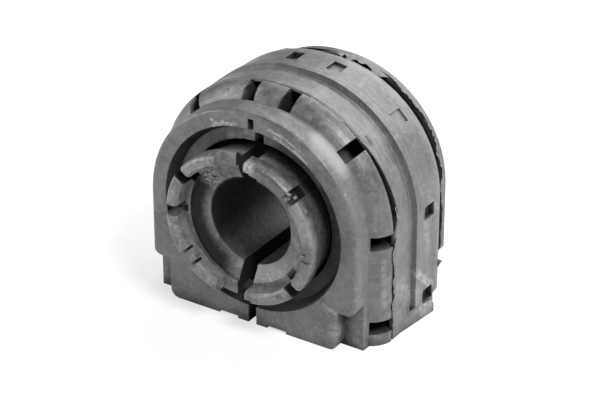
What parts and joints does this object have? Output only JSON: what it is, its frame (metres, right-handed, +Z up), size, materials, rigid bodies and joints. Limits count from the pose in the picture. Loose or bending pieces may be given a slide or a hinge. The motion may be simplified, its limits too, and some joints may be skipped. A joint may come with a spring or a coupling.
{
  "type": "split stabiliser bar bush",
  "caption": "D-shaped rubber bush on a flat base, split below, with a hard castellated two-part sleeve round the bore and pockets round its shoulder.",
  "frame": {"origin": "on the base plane, under the bore, halfway along the bush", "axes": "+Z up from the flat base, Y along the bore with the pictured front face looking to -Y, X to the right as seen from the front"},
  "size_m": [0.0742, 0.059, 0.0653],
  "materials": {
    "rubber": "moulded, dusty, matte",
    "sleeve": "moulded with a thin rubber skin, satin"
  },
  "bodies": {
    "root": {"body": "rubber", "sleeve_left": "sleeve", "sleeve_right": "sleeve"}
  },
  "joints": []
}
